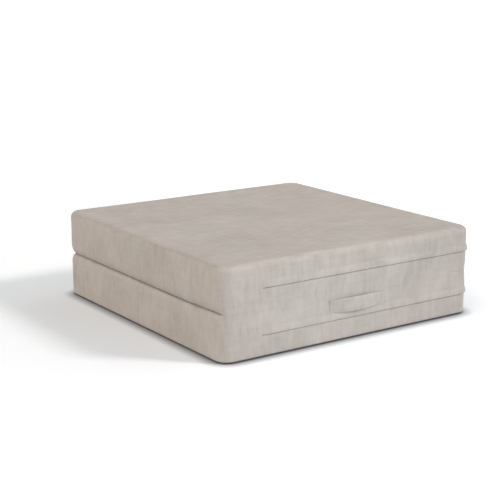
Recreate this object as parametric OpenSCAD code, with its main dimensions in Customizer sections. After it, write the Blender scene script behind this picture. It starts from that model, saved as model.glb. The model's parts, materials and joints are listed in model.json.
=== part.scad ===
// Bi-fold guest futon, folded in two: two foam blocks in one zipped cloth cover.
// Millimetres. X runs along the fold line, the fold face with the handle looks to -Y,
// and the base lies on z = 0 under the middle of the folded block.

/* [Mattress] */
// Width, along the fold line
mattress_w = 1000; // [700:10:1400]
// Depth of one block, from the fold face to the back
block_d = 1000; // [700:10:1400]
// Thickness of one block
block_t = 150; // [130:2:200]
// Radius of the upright corners
corner_r = 45; // [40:1:90]
// Air between the two sleeping faces when folded
slit_gap = 1; // [0.7:0.1:3]
// Crown of the top face
top_crown = 2; // [0.5:0.1:6]

/* [Cover] */
// Thickness of the cover cloth
cloth_t = 1.5; // [1:0.1:2]
// Edge radius round the top face
top_edge_r = 20; // [14:1:30]
// Edge radius round the base
base_edge_r = 12; // [8:1:24]
// How far the upper block's open edge is drawn in
upper_draw = 18; // [10:1:24]
// Height over which the upper block's open edge is drawn in
upper_lean = 38; // [20:1:44]
// How far the lower block's open edge is drawn in
lower_draw = 14; // [10:1:24]
// Height over which the lower block's open edge is drawn in
lower_lean = 24; // [16:1:44]
// How far the fold band sinks in at the fold line
band_waist = 2; // [0.5:0.1:4]
// Height over which each half of the fold band sinks in
band_reach = 50; // [20:1:50]
// Gap left at each sewn seam
seam = 0.3; // [0.2:0.05:0.4]

/* [Zips] */
// Start of each zip, from the near corner along the fold face
zip_start = 135; // [100:1:300]
// How far the lower zip lies above the middle of its block
lower_zip_rise = 4; // [-4:0.5:6]
// End of each zip, from the back corner along the side
zip_end = 100; // [80:1:300]
// Height of the slot between the cloth edges at a zip
slot_w = 12; // [11:0.5:16]
// Width of one zip tape
tape_w = 14; // [10:0.5:18]
// Thickness of a zip tape
tape_t = 0.6; // [0.4:0.1:0.8]
// Radius of one zip coil
coil_r = 1.4; // [1:0.1:1.6]
// Length of a zip slider
slider_l = 13; // [10:0.5:16]
// Width of a zip slider
slider_w = 9.6; // [8:0.2:10]
// Thickness of a slider's plates
plate_t = 1.1; // [0.8:0.1:1.2]
// Length of a pull tab beyond its cross bar
pull_l = 22; // [16:1:30]
// Width of a pull tab
pull_w = 6; // [5:0.5:8]
// Thickness of a pull tab
pull_t = 1; // [0.8:0.1:1.2]
// How far a zip flap hangs below the middle of its zip
flap_drop = 7; // [6:0.5:10]
// How far a zip flap laps over the cloth above the slot
flap_lap = 10; // [6:0.5:14]
// Room between a slider and the flap over it
flap_room = 0.9; // [0.3:0.1:3]

/* [Handle] */
// Length of the strap handle
handle_l = 220; // [140:5:320]
// Width of the strap in its middle
handle_w = 48; // [30:1:50]
// Width of the strap at its sewn ends
handle_end_w = 36; // [24:1:44]
// Thickness of the folded strap
handle_t = 3; // [2:0.5:4]
// How far the slack strap stands off the fold face
handle_rise = 12; // [9:1:20]
// Length of each sewn end of the strap
handle_tab = 18; // [12:1:30]
// Distance of the strap's middle above the lower zip
handle_above = 40.5; // [39:0.5:44]
// How far the strap's middle lies to the right of the middle of the fold face
handle_shift = 10; // [-40:1:40]
// Stitches across each end of the strap
stitch_count = 7; // [4:1:10]
// Length of one stitch
stitch_l = 3; // [2:0.5:4]
// Thickness of the sewing thread
thread_t = 0.5; // [0.4:0.1:0.8]

/* [Foam] */
// Thickness of the comfort foam under each sleeping face
comfort_t = 40; // [20:1:48]
// Distance of the foam's sides from the outside of the cover
side_room = 6.5; // [6:0.1:10]

/* [Hidden] */
$fn = 48;

linen = [0.75, 0.72, 0.68];
foam_cream = [0.93, 0.90, 0.80];
foam_grey = [0.80, 0.82, 0.84];
tape_grey = [0.66, 0.63, 0.59];
nickel = [0.62, 0.62, 0.62];

total_h = 2 * block_t + slit_gap + top_crown;
upper_flat_z = total_h - top_crown;
half_w = mattress_w / 2;
half_d = block_d / 2;

// Seat of the zips: the tape lies just behind the wall cloth, clear of the flats that the cloth's
// corners are made of, and the slider rides round it
arc_steps = 6;
corner_sag = corner_r * (1 - cos(45 / arc_steps));
tape_n = -(cloth_t + seam + corner_sag + tape_t / 2);
coil_gap = 0.1;
coil_half = 2 * coil_r + coil_gap / 2;
tape_from = coil_half + 0.2 * coil_r;
slide_gap = 0.3;
channel = 2 * (coil_r + slide_gap);
plate_n = tape_n + channel / 2 + plate_t;
post_w = coil_r;
post_l = slider_l / 4;
bridge_t = 0.7 * plate_t;
bridge_w = 1.8;
bridge_l = slider_l / 2;
bridge_leg = 1.2;
bar_r = pull_t / 2;
pull_n = plate_n + slide_gap + bar_r;
bridge_top_n = pull_n + bar_r + slide_gap + bridge_t;
arm_t = 1;
stop_l = 3;
tape_tail = 8;

// Flap: it leaves the wall above the slot, clears the slider's bridge and hangs over the slot
flap_in_n = bridge_top_n + flap_room;
flap_proud = flap_in_n + cloth_t;
hem_turn = 0.25 * flap_in_n;

handle_proud = seam + handle_rise + handle_t;
handle_steps = 20;

// Zip places along the walls, measured from the middle of the mattress
lower_zip_h = block_t / 2 + lower_zip_rise;
upper_zip_h = block_t / 2;
lower_zip_z = lower_zip_h;
upper_zip_z = upper_flat_z - upper_zip_h;
handle_z = lower_zip_z + handle_above;
zip_x = zip_start - half_w;
zip_y = half_d - zip_end;
park_y = zip_y - stop_l - slider_l / 2 - slide_gap;
coil_end_y = park_y + slider_l / 2 - post_l - 2 * slide_gap - post_w;

// The folded block is centred on the box round all that stands out of it
centre_shift = [-flap_proud / 2, handle_proud / 2, 0];

// Outline of a block: straight runs and corner arcs, measured anticlockwise from the near corner
run_x = mattress_w - 2 * corner_r;
run_y = block_d - 2 * corner_r;
arc = PI * corner_r / 2;
runs = [run_x, run_y, run_x, run_y];
begins = [0, run_x + arc, run_x + run_y + 2 * arc, 2 * run_x + run_y + 3 * arc];
lap = 2 * (run_x + run_y) + 4 * arc;
starts = [
    [corner_r - half_w, -half_d], [half_w, corner_r - half_d],
    [half_w - corner_r, half_d], [-half_w, half_d - corner_r]
];
centres = [
    [half_w - corner_r, corner_r - half_d], [half_w - corner_r, half_d - corner_r],
    [corner_r - half_w, half_d - corner_r], [corner_r - half_w, corner_r - half_d]
];
run_shares = [0, 0.25, 0.5, 0.75];
marks = [
    for (i = [0:3]) each concat(
        [for (share = run_shares) begins[i] + share * runs[i]],
        [for (k = [0:arc_steps - 1]) begins[i] + runs[i] + arc * k / arc_steps]
    )
];
zip_start_s = zip_start - corner_r;
zip_end_s = begins[1] + run_y + corner_r - zip_end;

// Heights of the rows of a cover's wall, as shares of its rounded edges
edge_shares = [0.5, 0.75, 1];
lean_shares = [0, 0.4, 0.75, 1];
seam_at_share = 0.85;
// Share of a corner over which the cloth still keeps the fold face's shape
closed_share = 0.5;
face_shares = [0.8, 0.45];
foam_shares = [0.3, 0.7, 1];

// A block's own sizes: edge radius, draw, lean and crown of its outer face, and height of its zip
LOWER = [base_edge_r, lower_draw, lower_lean, 0, lower_zip_h];
UPPER = [top_edge_r, upper_draw, upper_lean, top_crown, upper_zip_h];

function mix(a, b, u) = a + (b - a) * u;
function ease(u) = let (v = min(max(u, 0), 1)) v * v * (3 - 2 * v);
function section(s) = s < begins[1] ? 0 : s < begins[2] ? 1 : s < begins[3] ? 2 : 3;

// Point of the outline at length s round the block, moved in by d
function spot(length, d) =
    let (s = length % lap, i = section(s), past = s - begins[i] - runs[i])
    past <= 0
        ? let (a = 90 * i, out = [sin(a), -cos(a)])
            starts[i] + [cos(a), sin(a)] * (s - begins[i]) - out * d
        : let (a = 90 * i - 90 + 90 * past / arc)
            centres[i] + [cos(a), sin(a)] * (corner_r - d);

// 0 on the fold face, where the cloth runs over the fold line, and 1 on the open sides
function open_at(length) =
    let (s = length % lap, shut = closed_share * arc, way = arc - shut)
    s <= run_x ? 0 : min(ease((s - run_x - shut) / way), ease((lap - s - shut) / way));

function marks_between(from, to) = concat(
    [from],
    [for (turn = [0, lap]) for (s = marks) if (s + turn > from + seam && s + turn < to - seam) s + turn],
    [to]
);

// A row is [inset, height above the outer face, slope of the cloth there]
function edge_row(p, share) =
    let (a = 90 * share) [p[0] * (1 - sin(a)), p[0] * (1 - cos(a)), a - 90];
function lean_row(p, s, share) =
    let (o = open_at(s), a = 90 * seam_at_share * share)
    [
        mix(band_waist * ease(share), p[1] * (1 - cos(a)), o),
        mix(block_t - band_reach * (1 - share), block_t - p[2] * (1 - sin(a)), o),
        a * o
    ];
function inner_point(row, t) = [row[0] + t * cos(row[2]), row[1] - t * sin(row[2])];
function outer_point(row) = [row[0], row[1]];

function wall_rows(p, s) = concat(
    [for (share = edge_shares) edge_row(p, share)],
    [[0, p[4], 0]],
    [for (share = lean_shares) lean_row(p, s, share)]
);
function outer_strip_rows(p) = concat(
    [for (share = edge_shares) edge_row(p, share)],
    [[0, p[4] - slot_w / 2, 0]]
);
function inner_strip_rows(p, s) = concat(
    [[0, p[4] + slot_w / 2, 0]],
    [for (share = lean_shares) lean_row(p, s, share)]
);

// Cloth cross section: the rows outside, and back down the rows inside
function cloth_loop(rows) = concat(
    [for (row = rows) outer_point(row)],
    [for (i = [len(rows) - 1:-1:0]) inner_point(rows[i], cloth_t)]
);
function placed(s, point) = concat(spot(s, point[0]), point[1]);

// Solid swept along the outline from one cross section to the next, with flat ends
module strip(lengths, loops) {
    n = len(lengths);
    m = len(loops[0]);
    half = m / 2;
    points = [for (i = [0:n - 1]) for (point = loops[i]) placed(lengths[i], point)];
    sides = [
        for (i = [0:n - 2]) for (j = [0:m - 1])
            let (a = i * m + j, b = i * m + (j + 1) % m) each [[a, b, b + m], [a, b + m, a + m]]
    ];
    last = (n - 1) * m;
    ends = [
        for (j = [0:half - 2]) let (k = m - 1 - j) each [
            [j + 1, j, k], [j + 1, k, k - 1],
            [last + j, last + j + 1, last + k], [last + j + 1, last + k - 1, last + k]
        ]
    ];
    polyhedron(points, concat(sides, ends), convexity = 6);
}

// Closed solid from rings of points between a first and a last pole
module ringed(first, rings, final) {
    n = len(rings[0]);
    count = len(rings);
    points = concat([first], [for (ring = rings) each ring], [final]);
    pole = count * n + 1;
    fans = [
        for (j = [0:n - 1]) let (k = (j + 1) % n)
            each [[0, 1 + j, 1 + k], [pole - n + j, pole, pole - n + k]]
    ];
    walls = [
        for (i = [0:count - 2]) for (j = [0:n - 1])
            let (a = 1 + i * n + j, b = 1 + i * n + (j + 1) % n)
                each [[a, a + n, b + n], [a, b + n, b]]
    ];
    polyhedron(points, concat(fans, walls), convexity = 6);
}

function ring(row) = [for (s = marks) placed(s, row)];
function reversed(list) = [for (i = [len(list) - 1:-1:0]) list[i]];

// Ring of an outer face, drawn from its rim towards the middle, with the crown between them
function face_ring(p, share, depth) = [
    for (s = marks)
        let (rim = spot(s, p[0]))
            [rim[0] * share, rim[1] * share, depth - p[3] * (1 - share * share)]
];

// Cloth of the face that looks away from the fold
module outer_panel(p) {
    rim_shares = [for (share = [edge_shares[0] - 2 * seam / (PI * p[0]), edge_shares[0] / 2, 0]) share];
    rim = [for (share = rim_shares) edge_row(p, share)];
    ringed(
        [0, 0, -p[3]],
        concat(
            [for (share = reversed(face_shares)) face_ring(p, share, 0)],
            [for (row = reversed(rim)) ring(outer_point(row))],
            [for (row = rim) ring(inner_point(row, cloth_t))],
            [for (share = face_shares) face_ring(p, share, cloth_t)]
        ),
        [0, 0, cloth_t - p[3]]
    );
}

// Cloth of the sleeping face: its rim turns down to the open edges, and stops behind the fold band
module sleep_panel(p) {
    folded_in = band_waist + cloth_t + seam;
    rim_inset = p[1] * (1 - cos(90 * seam_at_share)) + seam;
    rim_a = acos(1 - rim_inset / p[1]);
    rim_h = block_t - p[2] * (1 - sin(rim_a));
    rim = [rim_inset, rim_h, rim_a];
    under = inner_point(rim, cloth_t);
    out_rim = [
        for (s = marks) let (o = open_at(s))
            placed(s, [mix(folded_in, rim[0], o), mix(block_t - seam, rim[1], o)])
    ];
    in_rim = [
        for (s = marks) let (o = open_at(s))
            placed(s, [mix(folded_in, under[0], o), mix(block_t - cloth_t, under[1], o)])
    ];
    face_inset = [for (s = marks) mix(folded_in + cloth_t, p[1] + cloth_t, open_at(s))];
    ringed(
        [0, 0, block_t - cloth_t],
        [
            [for (i = [0:len(marks) - 1]) placed(marks[i], [face_inset[i], block_t - cloth_t])],
            in_rim,
            out_rim,
            [for (i = [0:len(marks) - 1]) placed(marks[i], [face_inset[i], block_t])]
        ],
        [0, 0, block_t]
    );
}

// Side wall cloth from the zip's end round the back and the open side to the zip's start
module boxing(p) {
    lengths = marks_between(zip_end_s + seam / 2, lap + zip_start_s - seam / 2);
    strip(lengths, [for (s = lengths) cloth_loop(wall_rows(p, s))]);
}

module outer_zip_strip(p) {
    lengths = marks_between(zip_start_s + seam / 2, zip_end_s - seam / 2);
    strip(lengths, [for (s = lengths) cloth_loop(outer_strip_rows(p))]);
}

// The strip between the zip and the sleeping face starts where the fold band ends
module inner_zip_strip(p) {
    lengths = marks_between(run_x + seam / 2, zip_end_s - seam / 2);
    strip(lengths, [for (s = lengths) cloth_loop(inner_strip_rows(p, s))]);
}

module core_foam(p) {
    bed = cloth_t + seam;
    top = block_t - comfort_t;
    ringed(
        [0, 0, bed - p[3]],
        concat(
            [for (share = reversed(face_shares)) face_ring(p, share, bed)],
            [ring([p[0], bed]), ring([side_room, p[0]]), ring([side_room, top])]
        ),
        [0, 0, top]
    );
}

module comfort_foam(p) {
    low = block_t - comfort_t + seam;
    lid = cloth_t + seam;
    rows_at = function (s) concat(
        [[lean_row(p, s, 0)[0] + side_room, low]],
        [
            for (share = foam_shares)
                let (row = lean_row(p, s, share), deep = mix(side_room, lid, share * open_at(s)))
                    [
                        row[0] + deep * cos(row[2]) + (1 - open_at(s)) * seam,
                        min(max(row[1], low + share * lid) - deep * sin(row[2]), block_t - lid)
                    ]
        ]
    );
    table = [for (s = marks) rows_at(s)];
    ringed(
        [0, 0, low],
        [for (k = [0:3]) [for (i = [0:len(marks) - 1]) placed(marks[i], table[i][k])]],
        [0, 0, block_t - lid]
    );
}

// Moves what is drawn round the middle of the mattress to the part's own frame
module in_frame() {
    translate(centre_shift) children();
}
// Turns a block's own frame, with its outer face down, into the upper block
module upper_block() {
    in_frame() translate([0, 0, upper_flat_z]) mirror([0, 0, 1]) children();
}

// Sweeps a section, drawn as [out of the wall, up], along the zip from x_from to y_to
module zip_sweep(x_from, y_to) {
    corner = centres[0];
    translate([corner[0], -half_d, 0]) rotate([90, 0, -90])
        linear_extrude(corner[0] - x_from) children();
    translate([corner[0], corner[1], 0]) rotate([0, 0, -90])
        rotate_extrude(angle = 90, $fn = 96) translate([corner_r, 0]) children();
    translate([half_w, y_to, 0]) rotate([90, 0, 0])
        linear_extrude(y_to - corner[1]) children();
}

module zip_tapes(z) {
    translate([0, 0, z]) for (side = [0, 1]) mirror([0, 0, side])
        zip_sweep(zip_x - tape_tail, zip_y + tape_tail)
            translate([tape_n - tape_t / 2, tape_from]) square([tape_t, tape_w]);
}

module zip_coils(z) {
    translate([0, 0, z]) for (side = [0, 1]) mirror([0, 0, side])
        zip_sweep(zip_x + stop_l + 2 * slide_gap, coil_end_y)
            translate([tape_n, coil_r + coil_gap / 2]) circle(coil_r, $fn = 24);
}

// Bottom stop across both coils at the start, and a top stop on each tape at the end
module zip_stops(z) {
    translate([zip_x + slide_gap, -half_d - tape_n - coil_r, z - coil_half])
        cube([stop_l, 2 * coil_r, 2 * coil_half]);
    for (side = [0, 1]) translate([0, 0, z]) mirror([0, 0, side])
        translate([half_w + tape_n - coil_r, zip_y - stop_l, coil_gap])
            cube([2 * coil_r, stop_l, coil_half - coil_gap]);
}

module zip_flap(z) {
    top = slot_w / 2 + flap_lap;
    bend = slot_w / 2 + cloth_t;
    full = bend - flap_in_n;
    translate([0, 0, z]) zip_sweep(zip_x + seam, zip_y - seam)
        polygon([
            [seam, top], [seam, bend], [flap_in_n, full], [flap_in_n, hem_turn - flap_drop],
            [flap_in_n - hem_turn, -flap_drop], [flap_in_n + hem_turn, -flap_drop],
            [flap_proud, hem_turn - flap_drop], [flap_proud, full + cloth_t / 2],
            [seam + cloth_t, bend + cloth_t / 2], [seam + cloth_t, top]
        ]);
}

// Two shield-shaped plates on a post, with a bridge for the pull's cross bar
module zip_slider(z) {
    nose = slider_l / 2;
    tail_w = 0.75 * slider_w;
    translate([half_w, park_y, z]) {
        for (n = [plate_n - plate_t, tape_n - channel / 2 - plate_t])
            translate([n, 0, 0]) rotate([90, 0, 90]) linear_extrude(plate_t)
                polygon([
                    [-nose, -tail_w / 2], [0, -slider_w / 2], [nose, -slider_w / 2],
                    [nose, slider_w / 2], [0, slider_w / 2], [-nose, tail_w / 2]
                ]);
        translate([tape_n - channel / 2, 0, 0]) rotate([90, 0, 90]) linear_extrude(channel)
            polygon([[nose - post_l, 0], [nose - post_l / 2, -post_w / 2], [nose, -post_w / 2],
                [nose, post_w / 2], [nose - post_l / 2, post_w / 2]]);
        for (side = [-1, 1])
            translate([plate_n, side * (bridge_l - bridge_leg) / 2 - bridge_leg / 2, -bridge_w / 2])
                cube([bridge_top_n - plate_n, bridge_leg, bridge_w]);
        translate([bridge_top_n - bridge_t, -bridge_l / 2, -bridge_w / 2])
            cube([bridge_t, bridge_l, bridge_w]);
    }
}

// Cross bar under the bridge, two arms past the bridge's leg, and a flat tab
module zip_pull(z) {
    arm_z = bridge_w / 2 + slide_gap;
    arm_l = bridge_l / 2 + 2 * slide_gap;
    translate([half_w + pull_n, park_y, z]) {
        translate([0, 0, -arm_z - arm_t]) cylinder(h = 2 * (arm_z + arm_t), r = bar_r, $fn = 24);
        for (side = [0, 1]) mirror([0, 0, side]) translate([-bar_r, -arm_l - arm_t, arm_z])
            cube([pull_t, arm_l + arm_t, arm_t]);
        translate([-bar_r, 0, 0]) rotate([90, 0, 90]) linear_extrude(pull_t) {
            translate([pull_w / 2 - pull_l, -pull_w / 2]) square([pull_l - arm_l - pull_w / 2, pull_w]);
            translate([pull_w / 2 - pull_l, 0]) circle(pull_w / 2);
        }
    }
}

// Continuous cloth between the two zips, over the fold line
module band_cloth() {
    half_rows = function (zip_h) concat(
        [[0, zip_h + slot_w / 2]],
        [for (share = lean_shares) [band_waist * ease(share), block_t - band_reach * (1 - share)]]
    );
    all_rows = concat(
        half_rows(lower_zip_h),
        [for (row = reversed(half_rows(upper_zip_h))) [row[0], upper_flat_z - row[1]]]
    );
    translate([half_w - corner_r - seam / 2, -half_d, 0]) rotate([90, 0, -90])
        linear_extrude(run_x - zip_start_s - seam)
            polygon(concat(
                [for (row = all_rows) [-row[0], row[1]]],
                [for (row = reversed(all_rows)) [-row[0] - cloth_t, row[1]]]
            ));
}

// Slack strap: flat sewn ends, and a middle that stands off the fold face and is wider there
module slack_strap() {
    free_l = handle_l - 2 * handle_tab;
    stations = concat(
        [[-handle_l / 2, 0]],
        [
            for (i = [0:handle_steps]) let (u = i / handle_steps)
                [free_l * (u - 1 / 2), (1 - cos(360 * u)) / 2]
        ],
        [[handle_l / 2, 0]]
    );
    points = [
        for (station = stations)
            let (
                x = station[0],
                n = seam + handle_rise * station[1],
                h = mix(handle_end_w, handle_w, station[1]) / 2
            )
            each [[x, -n, -h], [x, -n, h], [x, -n - handle_t, h], [x, -n - handle_t, -h]]
    ];
    sides = [
        for (i = [0:len(stations) - 2]) for (j = [0:3])
            let (a = 4 * i + j, b = 4 * i + (j + 1) % 4) each [[a, b + 4, b], [a, a + 4, b + 4]]
    ];
    last = len(points) - 4;
    translate([handle_shift, -half_d, handle_z])
        polyhedron(
            points,
            concat(sides, [[0, 1, 2], [0, 2, 3], [last, last + 2, last + 1], [last, last + 3, last + 2]]),
            convexity = 4
        );
}

module strap_stitches() {
    pitch = (handle_end_w - 2 * stitch_l) / (stitch_count - 1);
    translate([handle_shift, -half_d, handle_z]) for (side = [0, 1]) mirror([side, 0, 0])
        for (row_at = [1 / 4, 3 / 4]) for (i = [0:stitch_count - 1])
            translate([
                row_at * handle_tab - handle_l / 2,
                -seam - handle_t - thread_t,
                pitch * (i - (stitch_count - 1) / 2) - stitch_l / 2
            ])
                cube([thread_t, thread_t, stitch_l]);
}

module lower_base_panel() { color(linen) in_frame() outer_panel(LOWER); }
module lower_boxing() { color(linen) in_frame() boxing(LOWER); }
module lower_outer_zip_strip() { color(linen) in_frame() outer_zip_strip(LOWER); }
module lower_inner_zip_strip() { color(linen) in_frame() inner_zip_strip(LOWER); }
module lower_sleep_panel() { color(linen) in_frame() sleep_panel(LOWER); }
module lower_core_foam() { color(foam_cream) in_frame() core_foam(LOWER); }
module lower_comfort_foam() { color(foam_grey) in_frame() comfort_foam(LOWER); }
module lower_zip_tapes() { color(tape_grey) in_frame() zip_tapes(lower_zip_z); }
module lower_zip_coils() { color(tape_grey) in_frame() zip_coils(lower_zip_z); }
module lower_zip_stops() { color(nickel) in_frame() zip_stops(lower_zip_z); }
module lower_zip_flap() { color(linen) in_frame() zip_flap(lower_zip_z); }
module lower_zip_slider() { color(nickel) in_frame() zip_slider(lower_zip_z); }
module lower_zip_pull() { color(nickel) in_frame() zip_pull(lower_zip_z); }
module upper_top_panel() { color(linen) upper_block() outer_panel(UPPER); }
module upper_boxing() { color(linen) upper_block() boxing(UPPER); }
module upper_outer_zip_strip() { color(linen) upper_block() outer_zip_strip(UPPER); }
module upper_inner_zip_strip() { color(linen) upper_block() inner_zip_strip(UPPER); }
module upper_sleep_panel() { color(linen) upper_block() sleep_panel(UPPER); }
module upper_core_foam() { color(foam_cream) upper_block() core_foam(UPPER); }
module upper_comfort_foam() { color(foam_grey) upper_block() comfort_foam(UPPER); }
module upper_zip_tapes() { color(tape_grey) in_frame() zip_tapes(upper_zip_z); }
module upper_zip_coils() { color(tape_grey) in_frame() zip_coils(upper_zip_z); }
module upper_zip_stops() { color(nickel) in_frame() zip_stops(upper_zip_z); }
module upper_zip_flap() { color(linen) in_frame() zip_flap(upper_zip_z); }
module upper_zip_slider() { color(nickel) in_frame() zip_slider(upper_zip_z); }
module upper_zip_pull() { color(nickel) in_frame() zip_pull(upper_zip_z); }
module fold_band() { color(linen) in_frame() band_cloth(); }
module handle_strap() { color(linen) in_frame() slack_strap(); }
module handle_stitching() { color(tape_grey) in_frame() strap_stitches(); }

lower_base_panel();
lower_boxing();
lower_outer_zip_strip();
lower_inner_zip_strip();
lower_sleep_panel();
lower_core_foam();
lower_comfort_foam();
lower_zip_tapes();
lower_zip_coils();
lower_zip_stops();
lower_zip_flap();
lower_zip_slider();
lower_zip_pull();
upper_top_panel();
upper_boxing();
upper_outer_zip_strip();
upper_inner_zip_strip();
upper_sleep_panel();
upper_core_foam();
upper_comfort_foam();
upper_zip_tapes();
upper_zip_coils();
upper_zip_stops();
upper_zip_flap();
upper_zip_slider();
upper_zip_pull();
fold_band();
handle_strap();
handle_stitching();
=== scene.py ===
import json
import math

import bmesh
import bpy
import numpy as np
from mathutils import Matrix, Vector, noise

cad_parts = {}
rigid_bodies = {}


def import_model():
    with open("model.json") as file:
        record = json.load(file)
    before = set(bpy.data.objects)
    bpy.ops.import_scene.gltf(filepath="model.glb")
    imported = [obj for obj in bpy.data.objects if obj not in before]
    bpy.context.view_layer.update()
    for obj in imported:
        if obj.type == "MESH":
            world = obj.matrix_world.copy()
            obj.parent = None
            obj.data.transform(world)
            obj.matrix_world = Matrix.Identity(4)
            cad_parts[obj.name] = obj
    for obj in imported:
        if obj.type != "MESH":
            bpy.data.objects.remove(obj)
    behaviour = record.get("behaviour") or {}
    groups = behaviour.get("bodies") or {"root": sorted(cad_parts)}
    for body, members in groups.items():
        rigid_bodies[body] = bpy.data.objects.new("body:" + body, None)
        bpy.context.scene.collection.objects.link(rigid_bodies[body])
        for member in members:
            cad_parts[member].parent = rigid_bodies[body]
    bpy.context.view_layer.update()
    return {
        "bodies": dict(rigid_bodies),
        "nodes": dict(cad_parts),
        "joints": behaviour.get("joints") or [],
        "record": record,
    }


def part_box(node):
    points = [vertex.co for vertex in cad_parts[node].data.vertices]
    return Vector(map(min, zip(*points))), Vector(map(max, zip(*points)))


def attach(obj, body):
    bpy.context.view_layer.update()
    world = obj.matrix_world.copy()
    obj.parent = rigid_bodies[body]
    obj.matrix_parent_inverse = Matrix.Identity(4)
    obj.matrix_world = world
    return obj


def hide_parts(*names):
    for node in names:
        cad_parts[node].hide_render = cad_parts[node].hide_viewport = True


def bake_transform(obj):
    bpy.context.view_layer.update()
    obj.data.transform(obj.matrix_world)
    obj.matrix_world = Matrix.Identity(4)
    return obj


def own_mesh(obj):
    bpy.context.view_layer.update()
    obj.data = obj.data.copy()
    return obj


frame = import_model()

MM = 0.001

# Places read off the frame: the walls of the folded block, its heights and its zips
wall_low, wall_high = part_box("lower_boxing")
WEST, FOLD_FACE, EAST, BACK = wall_low.x, wall_low.y, wall_high.x, wall_high.y
MIDDLE = Vector(((WEST + EAST) / 2, (FOLD_FACE + BACK) / 2, 0))
HALF_W = (EAST - WEST) / 2
HALF_D = (BACK - FOLD_FACE) / 2
BLOCK_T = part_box("lower_sleep_panel")[1].z
CROWN = 2 * MM
UPPER_FLAT_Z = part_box("upper_top_panel")[1].z - CROWN
FOLD_Z = UPPER_FLAT_Z / 2
ZIP_Z = {
    side: sum(corner.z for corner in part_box(side + "_zip_coils")) / 2
    for side in ("lower", "upper")
}
ZIP_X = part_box("lower_outer_zip_strip")[0].x
ZIP_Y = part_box("lower_outer_zip_strip")[1].y

CORNER_R = 45 * MM
CLOTH_T = 1.2 * MM

# How far the fold band sinks in at the fold line, the height over which it does, and the height
# on each side of the line over which it bends when the futon is unfolded
BAND_WAIST = 2 * MM
BAND_REACH = 50 * MM

# Cells across a face of a cover and of a foam slab, the share of a face that its straight cells
# take, and the rim inside the outline at which the faces' cells end
COVER_CELLS = 96
FOAM_CELLS = 48
STRAIGHT_CELLS = 0.875
RIM_INSET = 20 * MM

# Turns of a rounded edge, in degrees, with the seam at one of them, and how far that is drawn in
EDGE_TURNS = (0, 12, 24, 35, 42, 45, 48, 55, 66, 78, 90)
SEAM_TURN = 45
SEAM_ROW = EDGE_TURNS.index(SEAM_TURN)
SEAM_PINCH = 0.5 * MM

# Rows on a cover's straight wall below its zip, and where it turns in to the sleeping face, which
# crowd together towards the fold line on the fold face
LOW_ROWS = 6
TURN_ROWS = 13
CROWDING = 1.8

# Shares of a corner over which the cloth is still shut at the fold line, and then comes open
SHUT = 0.42
OPENING = 0.42

# How much closer the blocks' lips press together there, over so many rows and so wide a rim
LIP_CLOSE = 0.4 * MM
LIP_START = 6 * MM
LIP_ROWS = 6
LIP_RIM = 0.1

# The angle of a corner that the fold band's ends reach round, their height, and how far they lie
# under and over the cover's cloth, in millimetres
BAND_ROUND = math.atan(4 / 6)
BAND_END_H = 14 * MM
BAND_END_PROUD = (-0.4, 0.35)

# How far the slit between the blocks has settled on the open sides, and how much it gapes. Past a
# corner it settles over one length, and gets a share shallower over another, further on
SETTLED = 3.6 * MM
GAPE = 0.5 * MM
SETTLE_IN = 150 * MM
SETTLE_OUT = (300 * MM, 400 * MM)
SHALLOWER = 0.4

# Crease that carries the slit's line on over the ends of the fold band
CREASE_DEPTH = 0.9 * MM
CREASE_L = 70 * MM

# Hollows of a filled cover, broad and fine: cells in a metre, their place in the noise, and depth
# in millimetres. On the fold faces they are turned into dips of about this depth
HOLLOWS = ((3.1, (4.2, 1.7, 9.3), 0.9), (9.5, (2.6, 8.1, 5.5), 0.35))
FOLD_DIP = 0.6

# Rows beside a zip slot, by their distance from it, and how deep the cloth rolls in at the nearest
# ones, all in millimetres
LIP_LINES = (6, 3, 1.2, 0.4, 0)
LIP_ROLL = {0: 1.1, 0.4: 0.7, 1.2: 0.25}

# How the cover swells between its seams: the cloth simulation's pressure and frames, and how far
# a point may move in it
SWELL_PRESSURE = 1
SWELL_FRAMES = 20
SWELL_CAP = 3 * MM

# Zip slot, measured from the middle of the zip, how much later than the zip it starts, and the
# length over which its lips roll in at its ends
SLOT_BELOW = 9.5 * MM
SLOT_ABOVE = 6 * MM
SLOT_LATER = 9 * MM
SLOT_EASE = 8 * MM

# Flap over a zip: its top and hem from the middle of the zip, how far it stands out on the fold
# face and on the side, and how deep in the wall its top is buried
FLAP_TOP = 24 * MM
FLAP_HEM = 7 * MM
FLAP_FRONT_PROUD = 2.4 * MM
FLAP_SIDE_PROUD = 4.93 * MM
FLAP_BURIED = 0.6 * MM
FLAP_T = 0.7 * MM
HEM_R = 0.8 * MM

# How near a wall's plane a face of the cloth counts as part of it, how near a cut snaps to what
# is there, and how steep an upright face's normal is at most
WALL_NEAR = 10 * MM
FOLD_NEAR = 3.3 * MM
HAIR = 0.05 * MM
STEEP = 0.7


def placed(name, data):
    piece = bpy.data.objects.new(name, data)
    bpy.context.scene.collection.objects.link(piece)
    return piece


def aimed(name, data, place, forward):
    """Puts a camera or a lamp at a place, looking along a direction."""
    piece = placed(name, data)
    piece.location = place
    piece.rotation_mode = "QUATERNION"
    piece.rotation_quaternion = forward.to_track_quat("-Z", "Y")
    return piece


def ease(u):
    v = np.clip(u, 0, 1)
    return v * v * (3 - 2 * v)


def rising(value, start, length):
    """0 up to the start, and 1 from a length beyond it."""
    return ease((value - start) / length)


def mix(a, b, u):
    return a + (b - a) * u


def upright(face):
    return abs(face.normal.z) < STEEP


def edges_along(bm, axis, length):
    """The edges that reach further than a length along an axis."""
    return [e for e in bm.edges if abs(e.verts[0].co[axis] - e.verts[1].co[axis]) > length]


# Outline of a block, as lengths anticlockwise from the near corner along the fold face

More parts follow.
